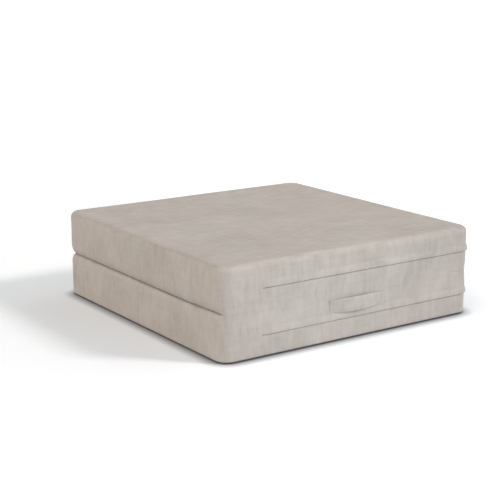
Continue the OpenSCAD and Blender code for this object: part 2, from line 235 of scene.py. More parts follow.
CORE_W = HALF_W - CORNER_R
CORE_D = HALF_D - CORNER_R
ARC = math.pi * CORNER_R / 2
RUNS = [2 * CORE_W, 2 * CORE_D, 2 * CORE_W, 2 * CORE_D]
BEGINS = [0, RUNS[0] + ARC, RUNS[0] + RUNS[1] + 2 * ARC, sum(RUNS[:3]) + 3 * ARC]
LAP = sum(RUNS) + 4 * ARC
BAND_FROM = MIDDLE.x - CORE_W
BAND_TO = MIDDLE.x + CORE_W


def fold_length(x):
    """Length along the outline of a place on the fold face."""
    return x - BAND_FROM


def east_length(y):
    """Length along the outline of a place on the east wall."""
    return BEGINS[1] + y - (MIDDLE.y - CORE_D)


def past_fold(s):
    """How far s lies past the fold face, to either side of it."""
    return np.where(s <= RUNS[0], 0.0, np.minimum(s - RUNS[0], LAP - s))


def open_share(s):
    """0 on the fold face, where the cloth runs over the fold, and 1 on the open sides."""
    return rising(past_fold(s), SHUT * ARC, OPENING * ARC)


def lips_closed(s):
    """1 at the ends of the fold band, where the two blocks' lips press together."""
    return rising(past_fold(s), 0, LIP_START) * (1 - open_share(s))


def settling(block, s, height, inward):
    """How far the lips of the slit lie below their even height, most of all near the corners."""
    along = past_fold(s) - ARC
    drop = rising(along, 0, SETTLE_IN) * (1 - SHALLOWER * rising(along, *SETTLE_OUT))
    near_lip = rising(height, BLOCK_T - 60 * MM, 50 * MM) * rising(inward, 0.8, 0.15)
    return (SETTLED + GAPE * block.up) * drop * near_lip * block.up


def spot(s, proud):
    """Point of the walls' outline at length s, that far out of the wall, and the way out."""
    side = max(i for i in range(4) if s % LAP >= BEGINS[i])
    along = s % LAP - BEGINS[side]
    turn = math.pi / 2 * side
    past = max(along - RUNS[side], 0) / CORNER_R
    forward = Vector((math.cos(turn), math.sin(turn), 0))
    out = Vector((math.sin(turn), -math.cos(turn), 0))
    far = (CORE_D, CORE_W)[side % 2] + CORNER_R
    near = RUNS[side] / 2
    way = out * math.cos(past) + forward * math.sin(past)
    if past:
        centre = MIDDLE + out * (far - CORNER_R) + forward * near
        return centre + way * (CORNER_R + proud), way
    return MIDDLE + out * (far + proud) + forward * (along - near), way


def spread(u, core, edge):
    """Spaces the cells of a face so that enough of them lie at the corners."""
    return np.sign(u) * np.interp(np.abs(u), (0, STRAIGHT_CELLS, 1), (0, core, edge))


def plan(u, v, inset):
    """Puts points (u, v) of a square, from -1 to 1, on a block's plan whose rim is moved in."""
    x = spread(u, CORE_W, HALF_W - RIM_INSET)
    y = spread(v, CORE_D, HALF_D - RIM_INSET)
    past_x = np.maximum(np.abs(x) - CORE_W, 0) / (CORNER_R - RIM_INSET)
    past_y = np.maximum(np.abs(y) - CORE_D, 0) / (CORNER_R - RIM_INSET)
    length = np.hypot(past_x, past_y)
    rounder = np.maximum(past_x, past_y) / np.where(length > 0, length, 1)
    out_x, out_y = past_x * rounder, past_y * rounder
    return (
        MIDDLE.x + np.sign(x) * (np.minimum(np.abs(x), CORE_W) + out_x * (CORNER_R - inset)),
        MIDDLE.y + np.sign(y) * (np.minimum(np.abs(y), CORE_D) + out_y * (CORNER_R - inset)),
    )


def outline_length(u, v):
    """Length along the outline of the rim point that lies outwards of (u, v)."""
    most = np.maximum(np.maximum(np.abs(u), np.abs(v)), 1e-9)
    x = spread(u / most, CORE_W, HALF_W - RIM_INSET)
    y = spread(v / most, CORE_D, HALF_D - RIM_INSET)
    core_x, core_y = np.clip(x, -CORE_W, CORE_W), np.clip(y, -CORE_D, CORE_D)
    turn = np.arctan2(x - core_x, core_y - y) % (2 * math.pi)
    side = np.rint(turn / (math.pi / 2)).astype(int)
    straight = np.choose(side, [
        core_x + CORE_W,
        2 * CORE_W + core_y + CORE_D,
        2 * CORE_W + 2 * CORE_D + CORE_W - core_x,
        4 * CORE_W + 2 * CORE_D + CORE_D - core_y,
        4 * CORE_W + 4 * CORE_D + core_x + CORE_W,
    ])
    return straight + CORNER_R * turn


class Block:
    """One of the two blocks, and its cover's rows, from its outer face to its sleeping face."""

    def __init__(self, name, outer_z, up, edge, draw, lean, crown):
        self.name, self.outer_z, self.up = name, outer_z, up
        self.edge, self.draw, self.lean, self.crown = edge, draw, lean, crown
        zip_h = self.height(ZIP_Z[name])
        below, above = (SLOT_BELOW, SLOT_ABOVE) if up > 0 else (SLOT_ABOVE, SLOT_BELOW)
        self.slot = (zip_h - below, zip_h + above)

    def z(self, height):
        return self.outer_z + self.up * height

    def height(self, z):
        return (z - self.outer_z) * self.up

    def rows(self):
        """Rows of (inset, height) on an open side and on the fold face, and the first upright."""
        edge_in, edge_up = self.edge
        edge = []
        for turn in EDGE_TURNS:
            a = math.radians(turn)
            pinch = SEAM_PINCH if turn == SEAM_TURN else 0
            edge.append((edge_in * (1 - math.sin(a)) + pinch, edge_up * (1 - math.cos(a)) + pinch))
        lips = np.array(LIP_LINES) * MM
        low = np.linspace(edge_up, self.slot[0] - 2 * lips[0], LOW_ROWS)[1:]
        high = np.linspace(self.slot[1] + 2 * lips[0], BLOCK_T - BAND_REACH - 2 * MM, 2)
        wall = np.concatenate([low, self.slot[0] - lips, self.slot[1] + lips[::-1], high])
        open_side = edge + [(0, h) for h in wall]
        fold_side = list(open_side)
        for share in np.linspace(0, 1, TURN_ROWS):
            a = math.pi / 2 * share
            open_side.append(
                (self.draw * (1 - math.cos(a)), BLOCK_T - self.lean * (1 - math.sin(a)))
            )
            along = 1 - (1 - share) ** CROWDING
            fold_side.append((BAND_WAIST * ease(along), BLOCK_T - BAND_REACH * (1 - along)))
        return np.array(open_side), np.array(fold_side), len(EDGE_TURNS)


# The lower block's rim stands a little off the floor, round the flat that the futon rests on
LOWER = Block("lower", 0, 1, (38 * MM, 10 * MM), 14 * MM, 24 * MM, 0)
UPPER = Block("upper", UPPER_FLAT_Z, -1, (20 * MM, 20 * MM), 18 * MM, 38 * MM, CROWN)


def cloth_length(rows, straight_row):
    """Length of cloth up to each row, equal to its height on the straight wall."""
    steps = np.hypot(*np.diff(rows, axis=0).T)
    lengths = np.concatenate([[0], np.cumsum(steps)])
    return lengths - lengths[straight_row] + rows[straight_row, 1]


def hollows(place):
    """How far soft cloth rises or sinks at a place, in metres.

    It only sinks on the fold faces, which lie flat on each other when the futon is unfolded.
    """
    rise = sum(
        depth * noise.noise(place * cells + Vector(start)) for cells, start, depth in HOLLOWS
    )
    facing = 1 - float(rising(place.y, FOLD_FACE + 4 * MM, 14 * MM))
    return mix(rise, FOLD_DIP * (rise - 1), facing) * MM


def rounded_block(block, tables, cells, straight_row, seam_row):
    """A closed block from a cube: its faces gridded, its walls in rows, and its corners rounded."""
    open_rows, fold_rows = tables
    last = len(open_rows) - 1
    bm = bmesh.new()
    bmesh.ops.create_cube(bm, size=2)
    level = [e for e in bm.edges if abs(e.verts[0].co.z - e.verts[1].co.z) < 1]
    bmesh.ops.subdivide_edges(bm, edges=level, cuts=cells - 1, use_grid_fill=True)
    standing = edges_along(bm, 2, 1)
    bmesh.ops.subdivide_edges(bm, edges=standing, cuts=last - 1, use_grid_fill=True)
    bm.verts.index_update()

    cube = np.array([v.co for v in bm.verts])
    u, v = cube[:, 0], cube[:, 1]
    row = np.rint((1 + block.up * cube[:, 2]) / 2 * last).astype(int)
    inward = np.maximum(np.abs(u), np.abs(v))
    s = outline_length(u, v)
    opened = open_share(s)
    inset = mix(fold_rows[row, 0], open_rows[row, 0], opened)
    height = mix(fold_rows[row, 1], open_rows[row, 1], opened)
    height -= np.where(row == 0, block.crown * (1 - inward ** 2), 0)
    near_lip = rising(inward, 1 - LIP_RIM, LIP_RIM) * rising(row, last - LIP_ROWS, LIP_ROWS)
    height += LIP_CLOSE * lips_closed(s) * near_lip
    height -= settling(block, s, height, inward)
    x, y = plan(u, v, inset)
    for vert, px, py, h in zip(bm.verts, x, y, height):
        vert.co = (px, py, block.z(h))

    lengths = mix(
        cloth_length(fold_rows, straight_row)[row],
        cloth_length(open_rows, straight_row)[row],
        opened,
    )
    wall_u = np.where(s > LAP / 2, s - LAP, s)
    wall_v = block.z(lengths)
    rolled = lengths - cloth_length(open_rows, straight_row)[0]
    flat_x, flat_y = plan(u, v, inset[row == 0].min() - np.where(row <= seam_row, rolled, 0))
    layer = bm.loops.layers.uv.new("cloth")
    for face in bm.faces:
        ids = [vert.index for vert in face.verts]
        if row[ids].max() <= seam_row or row[ids].min() == last:
            for loop, i in zip(face.loops, ids):
                loop[layer].uv = (flat_y[i], flat_x[i])
        else:
            wraps = wall_u[ids].max() - wall_u[ids].min() > LAP / 2
            for loop, i in zip(face.loops, ids):
                turn = LAP if wraps and wall_u[i] < 0 else 0
                loop[layer].uv = (wall_u[i] + turn, wall_v[i])
    return bm, row, s


def zip_share(s):
    """1 along a zip's slot and 0 away from it."""
    return rising(s, fold_length(SLOT_X), SLOT_EASE) * ease((ZIP_END - s) / SLOT_EASE)


def soften(bm, block, row, last, s):
    """Rolls the cloth in at the zip slot and gives it the slow hollows of a filled cover."""
    bm.normal_update()
    for vert, r, length in zip(bm.verts, row, s):
        h = block.height(vert.co.z)
        place, way = vert.co.copy(), vert.normal.copy()
        off_floor = rising(h, 0, 15 * MM) if block is LOWER else 1
        off_lip = 1 - rising(r, last - 8, 6)
        vert.co += way * hollows(place) * float(off_floor * off_lip)
        for away, depth in LIP_ROLL.items():
            for lip in block.slot:
                outside = min(block.slot) - h if lip == block.slot[0] else h - block.slot[1]
                if abs(outside - away * MM) < HAIR and 0 < r < last:
                    vert.co -= way * depth * MM * float(zip_share(length))


def hold_share(bm, block, row, last, s):
    """1 where sewing, foam, the floor or the other block holds the cloth, 0 where it can swell."""
    co = np.array([vert.co for vert in bm.verts])
    h = block.height(co[:, 2])
    inward = np.maximum(np.abs(co[:, 0] - MIDDLE.x) / HALF_W, np.abs(co[:, 1] - MIDDLE.y) / HALF_D)
    off_zip = np.abs(h - sum(block.slot) / 2)
    sewn = zip_share(s) * (1 - rising(off_zip, 24 * MM, 16 * MM))
    lips = rising(row, last - TURN_ROWS, 3)
    seam = 1 - rising(np.abs(row - SEAM_ROW), 1, 3)
    foam_face = 1 - rising(inward, 0.84, 0.1)
    floor_near = 1 - rising(h, 0, 20 * MM) if block is LOWER else np.zeros(len(h))
    fold_side = 1 - rising(co[:, 1], FOLD_FACE + 6 * MM, 20 * MM)
    holds = [sewn, lips, seam, foam_face, floor_near, fold_side]
    return np.clip(np.maximum.reduce(holds), 0, 1)


def swell(bm, block, row, last, s):
    """Lets the cloth swell between its seams for some frames, as the cover of a filled block."""
    held = hold_share(bm, block, row, last, s)
    spare = bm.copy()
    spare.verts.ensure_lookup_table()
    origin = spare.verts.layers.int.new("origin")
    for i, vert in enumerate(spare.verts):
        vert[origin] = i
    fixed = [face for face in spare.faces if min(held[vert.index] for vert in face.verts) > 0.999]
    bmesh.ops.delete(spare, geom=fixed, context="FACES")
    mesh = bpy.data.meshes.new("swelling")
    spare.to_mesh(mesh)
    spare.free()
    ids = np.zeros(len(mesh.vertices), dtype=np.int32)
    mesh.attributes["origin"].data.foreach_get("value", ids)

    piece = placed("swelling", mesh)
    group = piece.vertex_groups.new(name="held")
    for i, vert in enumerate(ids):
        group.add([i], float(held[vert]), "REPLACE")
    cloth = piece.modifiers.new("cloth", "CLOTH")
    fabric = cloth.settings
    fabric.quality = 4
    fabric.mass = 0.3
    fabric.vertex_group_mass = "held"
    fabric.tension_stiffness = fabric.compression_stiffness = fabric.shear_stiffness = 40
    fabric.bending_stiffness = 5
    fabric.effector_weights.gravity = 0
    fabric.use_pressure = True
    fabric.uniform_pressure_force = SWELL_PRESSURE
    cloth.collision_settings.use_collision = False
    cloth.point_cache.frame_start, cloth.point_cache.frame_end = 1, SWELL_FRAMES
    for frame in range(1, SWELL_FRAMES + 1):
        bpy.context.scene.frame_set(frame)
    graph = bpy.context.evaluated_depsgraph_get()
    swollen = piece.evaluated_get(graph).data
    bm.verts.ensure_lookup_table()
    for i, vert in enumerate(ids):
        move = swollen.vertices[i].co - mesh.vertices[i].co
        if move.length > SWELL_CAP:
            move *= SWELL_CAP / move.length
        bm.verts[vert].co += move * float(1 - held[vert])
    bpy.data.objects.remove(piece)
    bpy.data.meshes.remove(mesh)
    bpy.context.scene.frame_set(1)


def finished(bm, name, thickness=0.0, sharp=40):
    """Makes an object of a bmesh, with the cloth's thickness inwards where one is given."""
    mesh = bpy.data.meshes.new(name)
    bm.to_mesh(mesh)
    bm.free()
    piece = placed(name, mesh)
    if thickness:
        shell = piece.modifiers.new("thickness", "SOLIDIFY")
        shell.thickness = thickness
        shell.offset = -1
        graph = bpy.context.evaluated_depsgraph_get()
        made = bpy.data.meshes.new_from_object(piece.evaluated_get(graph), depsgraph=graph)
        piece.modifiers.clear()
        piece.data = made
        bpy.data.meshes.remove(mesh)
    piece.data.polygons.foreach_set("use_smooth", [True] * len(piece.data.polygons))
    piece.data.set_sharp_from_angle(angle=math.radians(sharp))
    return piece


def cut(bm, wanted, place, way):
    """Adds the line where a plane crosses the faces for which wanted(face, middle) is true."""
    faces = [face for face in bm.faces if wanted(face, face.calc_center_median())]
    geometry = dict.fromkeys(faces)
    for face in faces:
        geometry.update(dict.fromkeys([*face.edges, *face.verts]))
    bmesh.ops.bisect_plane(bm, geom=list(geometry), plane_co=place, plane_no=way, dist=HAIR)


def keep_faces(bm, wanted):
    spare = [face for face in bm.faces if not wanted(face)]
    bmesh.ops.delete(bm, geom=spare, context="FACES")


SLEEP_EDGE = FOLD_FACE + BAND_WAIST + CLOTH_T + 0.7 * MM
SLOT_X = ZIP_X + SLOT_LATER
ZIP_START = fold_length(ZIP_X)
ZIP_END = east_length(ZIP_Y)


def part_of_cover(block):
    """Sorts a face of a whole block into its cover, the fold band, or an opening."""
    low, high = block.slot

    def sort(face):
        x, y, z = face.calc_center_median()
        h = block.height(z)
        between = BAND_FROM < x < BAND_TO
        on_fold = between and y < FOLD_FACE + FOLD_NEAR and upright(face)
        if on_fold and h > high:
            return "band"
        round_corner = x > BAND_TO and y < MIDDLE.y
        on_side = x > EAST - WALL_NEAR and y < ZIP_Y
        zipped = low < h < high and (on_fold and x > SLOT_X or round_corner or on_side)
        at_lip = between and y < SLEEP_EDGE and h > BLOCK_T - 2 * MM
        return "opening" if zipped or at_lip else "cover"

    return sort


def corner_angle(place):
    """How far round its corner a place lies, measured from the fold face."""
    past = max(BAND_FROM - place.x, place.x - BAND_TO, 0)
    return math.atan2(past, FOLD_FACE + CORNER_R - place.y)


def band_end(block, face):
    """True for the cloth round the corners that the ends of the fold band lie over."""
    centre = face.calc_center_median()
    h = block.height(centre.z)
    past = max(BAND_FROM - centre.x, centre.x - BAND_TO)
    on_wall = math.hypot(past, FOLD_FACE + CORNER_R - centre.y) > CORNER_R - FOLD_NEAR
    near = past > 0 and centre.y < FOLD_FACE + CORNER_R / 2 and upright(face)
    return near and on_wall and h > BLOCK_T - BAND_END_H and corner_angle(centre) < BAND_ROUND


def whole_block(block):
    """Closed mesh of a block's cloth, with the lines cut in where its pieces part."""
    *tables, straight_row = block.rows()
    bm, row, s = rounded_block(block, tables, COVER_CELLS, straight_row, SEAM_ROW)
    last = len(tables[0]) - 1
    soften(bm, block, row, last, s)
    swell(bm, block, row, last, s)
    for wanted, place, way in (
        (lambda f, c: upright(f) and c.y < FOLD_FACE + WALL_NEAR, (SLOT_X, 0, 0), (1, 0, 0)),
        (
            lambda f, c: upright(f) and c.x > EAST - WALL_NEAR and c.y > MIDDLE.y,
            (0, ZIP_Y, 0), (0, 1, 0),
        ),
        (
            lambda f, c: f.normal.z * block.up > STEEP and c.y < FOLD_FACE + 40 * MM,
            (0, SLEEP_EDGE, 0), (0, 1, 0),
        ),
    ):
        cut(bm, wanted, place, way)
        bm.normal_update()
    return bm


def covers():
    """The two covers, and the fold band joined from the cloth that both leave out."""
    made = {}
    band = bmesh.new()
    for block in (LOWER, UPPER):
        bm = whole_block(block)
        sort = part_of_cover(block)
        half = bm.copy()
        keep_faces(half, lambda face: sort(face) == "band" or band_end(block, face))
        half.normal_update()
        for vert in half.verts:
            angle = corner_angle(vert.co)
            h = block.height(vert.co.z)
            if angle > 0:
                shown = rising(h, BLOCK_T - BAND_END_H, 6 * MM)
                shown *= 1 - rising(angle / BAND_ROUND, 0.75, 0.25)
                proud = mix(*BAND_END_PROUD, float(shown)) * float(rising(angle, 0, 0.15))
                vert.co += vert.normal * proud * MM
            if BLOCK_T - h < 1 * MM:
                from_end = min(vert.co.x - BAND_FROM, BAND_TO - vert.co.x)
                vert.co -= vert.normal * CREASE_DEPTH * float(1 - rising(from_end, 0, CREASE_L))
        spare = bpy.data.meshes.new("half")
        half.to_mesh(spare)
        half.free()
        band.from_mesh(spare)
        bpy.data.meshes.remove(spare)
        keep_faces(bm, lambda face: sort(face) == "cover")
        made[block.name] = finished(bm, "cover_" + block.name, CLOTH_T)
    lips = [
        e for e in band.edges
        if e.is_boundary and all(abs(v.co.z - FOLD_Z) < 1 * MM for v in e.verts)
        and abs(e.verts[0].co.x - e.verts[1].co.x) > 1 * MM
    ]
    bridge = bmesh.ops.bridge_loops(band, edges=lips)
    layer = band.loops.layers.uv["cloth"]
    for face in bridge["faces"]:
        for loop in face.loops:
            loop[layer].uv = (loop.vert.co.x - BAND_FROM, loop.vert.co.z)
    bmesh.ops.recalc_face_normals(band, faces=band.faces)
    made["band"] = finished(band, "fold_band_cloth", CLOTH_T)
    return made


cloth_pieces = covers()


# Strips that follow the zips

FAR_ARC = RUNS[0]

# A flap is parted a little way round the far corner, so that its front can flatten alone
FLAP_SPLIT = FAR_ARC + math.radians(18) * CORNER_R


def stations(start, end, step=10 * MM, arc_step=4 * MM):
    """Lengths along the outline from start to end, closer together round the far corner."""
    marks = [start, end, FAR_ARC, FAR_ARC + ARC]
    marks = sorted(m for m in set(marks) if start <= m <= end)
    out = []
    for a, b in zip(marks, marks[1:]):
        size = arc_step if FAR_ARC <= a < FAR_ARC + ARC else step
        count = max(1, round((b - a) / size))
        out += [a + (b - a) * i / count for i in range(count)]
    return out + [end]


def swept_strip(name, lengths, profile, zip_z, thickness):
    """A strip along the walls from its cross section: profile(s) gives points (out, up)."""
    points = [profile(s) for s in lengths]
    bm = bmesh.new()
    bmesh.ops.create_grid(
        bm, x_segments=len(lengths) - 1, y_segments=len(points[0]) - 1, size=1
    )
    layer = bm.loops.layers.uv.new("cloth")
    grid = {}
    for vert in bm.verts:
        i = round((vert.co.x + 1) / 2 * (len(lengths) - 1))
        j = round((vert.co.y + 1) / 2 * (len(points[0]) - 1))
        grid[vert] = (i, j)
    run = [
        [0] + list(np.cumsum([math.dist(a, b) for a, b in zip(p, p[1:])])) for p in points
    ]
    for vert, (i, j) in grid.items():
        out, up = points[i][j]
        wall = spot(lengths[i], 0)[0] + Vector((0, 0, zip_z + up))
        place = spot(lengths[i], out + hollows(wall))[0]
        vert.co = (place.x, place.y, zip_z + up)
    for face in bm.faces:
        for loop in face.loops:
            i, j = grid[loop.vert]
            loop[layer].uv = (lengths[i], zip_z + points[i][0][1] - run[i][j])
    bm.normal_update()
    first = next(f for f in bm.faces if (0, 0) in [grid[vert] for vert in f.verts])
    if first.normal.dot(spot(lengths[0], 0)[1]) < 0:
        bmesh.ops.reverse_faces(bm, faces=bm.faces)
    return finished(bm, name, thickness)


def flap_profile(s):
    """The wall's cloth leans out above the zip, hangs over it and is turned under at its hem."""
    front = mix(
        -FLAP_BURIED - 1 * MM, FLAP_FRONT_PROUD, float(rising(s, ZIP_START, 28 * MM))
    )
    proud = mix(front, FLAP_SIDE_PROUD, float(rising(s, FLAP_SPLIT, 25 * MM)))
    full = FLAP_TOP + 2 * MM
    points = [
        (mix(-FLAP_BURIED, proud, float(ease(t))), FLAP_TOP - full * t)
        for t in np.linspace(0, 1, 15)
    ]
    points.append((proud, -FLAP_HEM + HEM_R + 1.5 * MM))
    for turn in np.radians(range(0, -181, -30)):
        points.append((
            proud - HEM_R + HEM_R * math.cos(turn), -FLAP_HEM + HEM_R + HEM_R * math.sin(turn)
        ))
    points += [(proud - 2 * HEM_R, -FLAP_HEM + up) for up in (4 * MM, 7 * MM)]
    return points


flaps = {}
for side, zip_z in ZIP_Z.items():
    flaps[side] = [
        swept_strip(f"{side}_flap_{wall}", stations(*run), flap_profile, zip_z, FLAP_T)
        for wall, run in (("front", (ZIP_START, FLAP_SPLIT)), ("side", (FLAP_SPLIT, ZIP_END)))
    ]


# Camera, as fitted to the block's outline in the photograph: where it looks, in radians, where it
# stands from the middle of the futon, and its focal length, in widths of the picture

CAMERA_AZIMUTH = 0.96647
CAMERA_DIP = 0.23794
CAMERA_PLACE = Vector((-2.43536, -3.44503, 1.21025))
CAMERA_FOCUS = 1254.7 / 500


def aim_camera():
    forward = Vector((
        math.cos(CAMERA_DIP) * math.cos(CAMERA_AZIMUTH),
        math.cos(CAMERA_DIP) * math.sin(CAMERA_AZIMUTH),
        -math.sin(CAMERA_DIP),
    ))
    lens = bpy.data.cameras.new("camera")
    lens.sensor_width = 36
    lens.lens = CAMERA_FOCUS * lens.sensor_width
    lens.clip_start, lens.clip_end = 0.1, 100
    bpy.context.scene.camera = aimed("camera", lens, MIDDLE + CAMERA_PLACE, forward)


aim_camera()


# Strap handle with its stitches

strap_low, strap_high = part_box("handle_strap")
HANDLE_X = (strap_low.x + strap_high.x) / 2
HANDLE_Z = (strap_low.z + strap_high.z) / 2
HANDLE_L = strap_high.x - strap_low.x
HANDLE_TAB = 18 * MM
HANDLE_T = 3 * MM
HANDLE_RISE = 12 * MM
HANDLE_TAPER = 34 * MM

# How deep the strap is sunk in the cloth, and how much its slack middle is cupped and leans out
HANDLE_SUNK = 0.2 * MM
HANDLE_CUP = 1.2 * MM
HANDLE_LEAN = 1 * MM

# Share of the strap's thickness at its ends, and the groove of the seam along its edges
PRESSED = 0.25
GROOVE_IN = 4 * MM
GROOVE_W = 0.8 * MM

# Upper and lower edge of the strap above its node's middle, at its ends and in its slack middle
STRAP_TOP = (18 * MM, 21.5 * MM)
STRAP_FOOT = (-16.5 * MM, -26.5 * MM)


def slack(x):
    """How slack the strap is at x from its middle: 0 on the sewn ends and 1 in the middle."""
    free = HANDLE_L / 2 - HANDLE_TAB
    return (1 + math.cos(math.pi * min(abs(x) / free, 1))) / 2


def strap():
    """A flat folded strap, pressed thin where it is sewn down, with a slack middle that sags."""
    bm = bmesh.new()
    bmesh.ops.create_cube(bm, size=2)
    for axis, cuts in ((0, 71), (2, 15), (1, 3)):
        edges = edges_along(bm, axis, 1)
        bmesh.ops.subdivide_edges(bm, edges=edges, cuts=cuts, use_grid_fill=True)
    layer = bm.loops.layers.uv.new("cloth")
    flat = {}
    for vert in bm.verts:
        across, along, wide = vert.co.y, vert.co.x, vert.co.z
        x = HANDLE_L / 2 * math.sin(along * math.pi / 2) * 0.25 + HANDLE_L / 2 * along * 0.75
        loose = slack(x)
        top = mix(*STRAP_TOP, loose)
        foot = mix(*STRAP_FOOT, float(ease((HANDLE_L / 2 - abs(x)) / HANDLE_TAPER)))
        width = top - foot
        z = wide * width / 2
        rim = 1 - abs(wide) ** 8
        end = 1 - abs(along) ** 60
        pinch = 1 - 0.25 * math.exp(-((abs(z) - width / 2 + GROOVE_IN) / GROOVE_W) ** 2)
        pressed = mix(PRESSED, 1, float(ease((HANDLE_L / 2 - abs(x)) / (1.6 * HANDLE_TAB))))
        thick = HANDLE_T * pressed
        half_t = thick / 2 * math.sqrt(max(rim * end, 0.02)) * pinch
        cup = HANDLE_CUP * loose * (1 - wide ** 2)
        lean = HANDLE_LEAN * loose * wide
        out = thick / 2 - HANDLE_SUNK + (HANDLE_RISE - HANDLE_T / 2) * loose + cup + lean
        z += HANDLE_Z + (top + foot) / 2
        out += hollows(Vector((HANDLE_X + x, FOLD_FACE, z)))
        y = FOLD_FACE - out + half_t * across
        flat[vert] = (x + 3, z + (1 - across) * HANDLE_T / 2 + 2)
        vert.co = (HANDLE_X + x, y, z)
    for face in bm.faces:
        for loop in face.loops:
            loop[layer].uv = flat[loop.vert]
    return finished(bm, "handle_strap_cloth", sharp=60)


# Rows of stitches, as a share of the sewn end, and how far each lies off the wall. A row has so
# many stitches, which leave a margin at the strap's edges
STITCH_OUT = {0.25: 1.25 * MM, 0.75: 1.85 * MM}
STITCHES = 7
STITCH_MARGIN = 3 * MM
STITCH_HALF_L = 1.5 * MM
THREAD_R = 0.35 * MM


def stitches():
    """Two rows of short stitches across each sewn end, each a thread that dips in at both ends."""
    bm = bmesh.new()
    pitch = (STRAP_TOP[0] - STRAP_FOOT[0] - 2 * STITCH_MARGIN) / (STITCHES - 1)
    for side in (-1, 1):
        for row_at, off_wall in STITCH_OUT.items():
            for i in range(STITCHES):
                x = HANDLE_X + side * (HANDLE_L / 2 - row_at * HANDLE_TAB)
                z = HANDLE_Z + (STRAP_TOP[0] + STRAP_FOOT[0]) / 2 + pitch * (i - STITCHES // 2)
                out = off_wall + hollows(Vector((x, FOLD_FACE, z)))
                place = Matrix.Translation((x, FOLD_FACE - out, z))
                shape = Matrix.Diagonal((THREAD_R, THREAD_R, STITCH_HALF_L, 1))
                bmesh.ops.create_uvsphere(
                    bm, u_segments=8, v_segments=8, radius=1, matrix=place @ shape
                )
    return finished(bm, "handle_threads")


handle = strap()
threads = stitches()


# Zips: woven tapes, interlocked teeth, stops, slider and pull

TAPE_OUT = -2.17 * MM
TAPE_T = 0.6 * MM
TAPE_FROM = 3.1 * MM
TAPE_W = 14 * MM
TAPE_STEP = 20 * MM

# A tooth: its size out, along and up, its spacing, how far it lies off the wall and off the
# middle of the zip, and its bevel
TOOTH = (2.4 * MM, 1.15 * MM, 3.2 * MM)
TOOTH_PITCH = 1.7 * MM
TOOTH_OUT = -2.47 * MM
TOOTH_LIFT = 1.15 * MM
TOOTH_BEVEL = 0.35 * MM

# Metal parts: how near their points weld, and the angles under which faces join and edges round
WELD = 0.002 * MM
FLAT_ANGLE = math.radians(2)
CORNER_ANGLE = math.radians(40)
SLIDER_ROUND = 0.2 * MM
PULL_ROUND = 0.15 * MM


def tape_profile(up):
    """Cross section of the tape above or below the teeth, the same all along."""
    edge = [(TAPE_OUT + 0.25 * MM, TAPE_FROM + 1 * MM), (TAPE_OUT, TAPE_FROM + 1.8 * MM)]
    points = [(TAPE_OUT, TAPE_FROM)] + edge
    points += [(TAPE_OUT, TAPE_FROM + TAPE_W * t) for t in (0.3, 0.55, 0.8, 1)]
    points = [(out, up * dz) for out, dz in points][::-up]
    return lambda s: points


def bevel(bm, edges, offset, segments=1, clamp=False):
    bmesh.ops.bevel(
        bm, geom=edges, offset=offset, affect="EDGES", segments=segments, profile=0.5,
        material=-1, clamp_overlap=clamp,
    )


def zip_teeth(side, zip_z):
    """Interlocked teeth from both tapes, all along the zip."""
    low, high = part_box(side + "_zip_coils")
    start = fold_length(low.x)
    count = int((east_length(high.y) - start) / TOOTH_PITCH)
    bm = bmesh.new()
    for i in range(count):
        place, way = spot(start + (i + 0.5) * TOOTH_PITCH, TOOTH_OUT)
        forward = Vector((-way.y, way.x, 0))
        turn = Matrix((way, forward, (0, 0, 1))).transposed().to_4x4()
        lift = TOOTH_LIFT if i % 2 else -TOOTH_LIFT
        bmesh.ops.create_cube(
            bm, size=1,
            matrix=Matrix.Translation(place + Vector((0, 0, zip_z + lift))) @ turn
            @ Matrix.Diagonal((*TOOTH, 1)),
        )
    bevel(bm, edges_along(bm, 2, TOOTH[2] / 2), TOOTH_BEVEL)
    return finished(bm, side + "_zip_teeth")


def softened(node, name, radius):
    """The rigid CAD shape of a small metal part, merged, with its sharp edges rounded."""
    bm = bmesh.new()
    bm.from_mesh(frame["nodes"][node].data)
    bmesh.ops.remove_doubles(bm, verts=bm.verts, dist=WELD)
    bmesh.ops.dissolve_limit(bm, angle_limit=FLAT_ANGLE, verts=bm.verts, edges=bm.edges)
    bm.normal_update()
    corners = [
        e for e in bm.edges if len(e.link_faces) == 2 and e.calc_face_angle(0) > CORNER_ANGLE
    ]
    bevel(bm, corners, radius, 2, clamp=True)
    return finished(bm, name)


zips = {}
for side, zip_z in ZIP_Z.items():
    tape_low, tape_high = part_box(side + "_zip_tapes")
    tape_run = stations(fold_length(tape_low.x), east_length(tape_high.y), TAPE_STEP)
    zips[side] = {
        "tapes": [
            swept_strip(f"{side}_zip_tape_{word}", tape_run, tape_profile(up), zip_z, TAPE_T)
            for word, up in (("above", 1), ("below", -1))
        ],
        "teeth": zip_teeth(side, zip_z),
        "slider": softened(side + "_zip_slider", side + "_slider_metal", SLIDER_ROUND),
        "pull": softened(side + "_zip_pull", side + "_pull_metal", PULL_ROUND),
    }


# Foam inside each cover: a core, and a softer layer under the sleeping face

FOAM_SIDE = 6.5 * MM
FOAM_FACE = 2 * MM
FOAM_GAP = 0.3 * MM
COMFORT_T = 40 * MM

# Rounding of the slabs at a core's outer face, at a cut face, and at the sleeping face
CORE_EDGE = {"lower": 14 * MM, "upper": 17 * MM}
CUT_EDGE = 2 * MM
SLEEP_ROUND = 6 * MM


